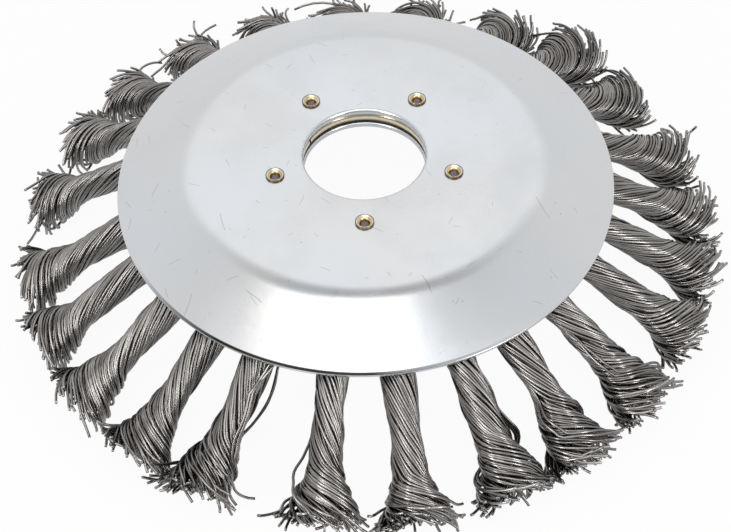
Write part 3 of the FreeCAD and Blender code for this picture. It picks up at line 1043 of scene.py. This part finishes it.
def make_floor():
    """Plain white floor under the tips, which keeps a faint shadow."""
    height = FLOOR_HEIGHT - FLOOR_GAP
    corners = [(x * FLOOR_HALF, y * FLOOR_HALF, height) for x, y in ((-1, -1), (1, -1), (1, 1), (-1, 1))]
    mesh = bpy.data.meshes.new("studio_floor")
    mesh.from_pydata(corners, [], [(0, 1, 2, 3)])
    material = bpy.data.materials.new("studio_white")
    material.use_nodes = True
    tree = material.node_tree
    shader = tree.nodes["Principled BSDF"]
    shader.inputs["Base Color"].default_value = (FLOOR_GREY, FLOOR_GREY, FLOOR_GREY, 1)
    shader.inputs["Roughness"].default_value = 0.9
    shader.inputs["Specular IOR Level"].default_value = 0.0
    glow = node(tree, "Emission", {"Color": (1, 1, 1, 1), "Strength": 1.0})
    seen, mirrored = seen_by(tree)
    share = maths(tree, "MAXIMUM", times(tree, seen, FLOOR_SHOWN), times(tree, mirrored, FLOOR_MIRRORED))
    mixed = node(tree, "MixShader", {0: share, 1: shader.outputs[0], 2: glow.outputs[0]})
    feed(tree, tree.nodes["Material Output"], "Surface", mixed.outputs[0])
    mesh.materials.append(material)
    placed("studio_floor", mesh)


def make_world():
    """White surroundings, which the metal shows as a room with a bright window behind and dimmer walls."""
    world = bpy.data.worlds.new("studio")
    world.use_nodes = True
    bpy.context.scene.world = world
    tree = world.node_tree
    background = tree.nodes["Background"]
    background.inputs["Color"].default_value = (1, 1, 1, 1)
    _, away, high = split(tree, node(tree, "TexCoord").outputs["Generated"])
    behind = maths(tree, "MAXIMUM", between(tree, away, -0.45, 0.1), between(tree, high, 0.2, 0.6))
    upper = between(tree, high, 0.6, 0.85)
    ceiling = times(tree, between(tree, high, 0.87, 0.94), between(tree, away, 0.0, 0.12))
    front = times(tree, between(tree, away, -0.22, -0.34), between(tree, high, 0.5, 0.75))
    walls = ROOM_MIRRORED
    for zone, level in ((behind, 0.54), (upper, -0.09), (ceiling, -0.33), (front, 0.6)):
        walls = maths(tree, "MULTIPLY_ADD", zone, level, walls)
    window = times(tree, between(tree, away, 0.38, 0.54), between(tree, high, 0.52, 0.68), WINDOW)
    room = maths(tree, "MAXIMUM", walls, window)
    seen, mirrored = seen_by(tree)
    level = node(tree, "MapRange", {"Value": mirrored, "To Min": ROOM_FILL, "To Max": room}).outputs["Result"]
    feed(tree, background, "Strength", maths(tree, "MAXIMUM", level, seen))


def make_lamp(name, place, size, power, colour):
    """Soft rectangular lamp that looks at the brush, with its first side level."""
    lamp = bpy.data.lights.new(name, "AREA")
    lamp.shape = "RECTANGLE"
    lamp.size, lamp.size_y = size
    lamp.energy = power
    lamp.color = colour
    made = placed(name, lamp)
    made.location = place
    back = made.location.normalized()
    side = (Vector((1, 0, 0)) - back.x * back).normalized()
    made.rotation_euler = Matrix((side, back.cross(side), back)).transposed().to_euler()
    made.visible_camera = False


# Operators

def settings(context):
    """Sizes and colours of the brush."""
    return context.scene.wire_brush_sizes, context.scene.wire_brush_finish


class OBJECT_OT_brush_covers(bpy.types.Operator):
    """Make the two plated covers with soft bends and rolled edges"""
    bl_idname = "object.brush_covers"
    bl_label = "Covers"

    def execute(self, context):
        sizes, finish = settings(context)
        plate = tuple(finish.plate)
        bright = plated_finish("zinc_plate_bright", plate, 0.24, dark_rim_reflection=True)
        plain = plated_finish("zinc_plate_under", plate, 0.26)
        for name, outline, node_name, material in (
                ("top_cover_pressed", top_cover_outline(sizes), "top_cover", bright),
                ("lower_cover_pressed", lower_cover_outline(), "lower_cover", plain)):
            pile = Pile()
            pile.add(*turned(outline, 240))
            mesh = drilled(outwards(pile.mesh(name)))
            mesh.name = name
            add_piece(name, mesh, [material], node_name)
        return {"FINISHED"}


class OBJECT_OT_brush_fasteners(bpy.types.Operator):
    """Make the split spacer ring and the tubular rivets, and finish the knot holder"""
    bl_idname = "object.brush_fasteners"
    bl_label = "Ring and rivets"

    def execute(self, context):
        _, finish = settings(context)
        gold = passivated_finish("yellow_passivated", tuple(finish.passivated), ring=True)
        bowl = passivated_finish("rivet_bowl", (0.76, 0.58, 0.31))
        # The rivets' outer walls in dark brown are painted shade, which keeps their rounding from showing a
        # highlight
        side = passivated_finish("rivet_side", (0.16, 0.11, 0.07))
        bright = plated_finish("rivet_head", (0.74, 0.74, 0.73), 0.25, grain=0.06)
        core = plated_finish("rivet_core", (0.2, 0.19, 0.225), 0.38)
        metals = [core, bowl, bright, side, bright]
        add_piece("spacer_ring_bent", make_spacer_mesh(), [gold], "spacer_ring")
        add_piece("rivets_rolled", make_rivet_mesh(), metals, "rivets")
        holder = frame["nodes"]["knot_holder"]
        holder.data.materials.clear()
        holder.data.materials.append(plated_finish("holder_steel", (0.42, 0.41, 0.40), 0.4))
        return {"FINISHED"}


class OBJECT_OT_brush_knots(bpy.types.Operator):
    """Make the twisted wire knots, each with its own lay and frayed tip"""
    bl_idname = "object.brush_knots"
    bl_label = "Wire knots"

    def execute(self, context):
        sizes, finish = settings(context)
        wire = wire_finish("drawn_wire", tuple(finish.wire_dark), tuple(finish.wire_light))
        packed = painted_core_shade_finish("packed_wire")
        for index, name in enumerate(KNOTS):
            mesh = make_knot_mesh(index, sizes)
            mesh.name = name + "_wires"
            add_piece(name + "_wires", mesh, [wire, packed], name)
        return {"FINISHED"}


class SCENE_OT_brush_stage(bpy.types.Operator):
    """Make the floor, the soft light and the camera at the photograph's angle"""
    bl_idname = "scene.brush_stage"
    bl_label = "Stage"

    def execute(self, context):
        context.scene.view_settings.view_transform = "Standard"
        make_floor()
        make_world()
        for lamp in LAMPS:
            make_lamp(*lamp)
        make_camera()
        return {"FINISHED"}


class VIEW3D_PT_wire_brush(bpy.types.Panel):
    """Buttons and settings in the sidebar"""
    bl_label = "Wire Wheel Brush"
    bl_space_type = "VIEW_3D"
    bl_region_type = "UI"
    bl_category = "Brush"

    def draw(self, context):
        sizes, finish = settings(context)
        for group in (sizes, finish):
            for name in group.__annotations__:
                self.layout.prop(group, name)
        for operator in OPERATORS:
            self.layout.operator(operator.bl_idname)


OPERATORS = (OBJECT_OT_brush_covers, OBJECT_OT_brush_fasteners, OBJECT_OT_brush_knots, SCENE_OT_brush_stage)
CLASSES = (BrushSizes, BrushFinish, *OPERATORS, VIEW3D_PT_wire_brush)


def register():
    for made in CLASSES:
        bpy.utils.register_class(made)
    bpy.types.Scene.wire_brush_sizes = PointerProperty(type=BrushSizes)
    bpy.types.Scene.wire_brush_finish = PointerProperty(type=BrushFinish)


def unregister():
    del bpy.types.Scene.wire_brush_finish
    del bpy.types.Scene.wire_brush_sizes
    for made in reversed(CLASSES):
        bpy.utils.unregister_class(made)


def main():
    register()
    bpy.ops.object.brush_covers()
    bpy.ops.object.brush_fasteners()
    bpy.ops.object.brush_knots()
    bpy.ops.scene.brush_stage()
    bpy.context.view_layer.update()


if __name__ == "__main__":
    main()
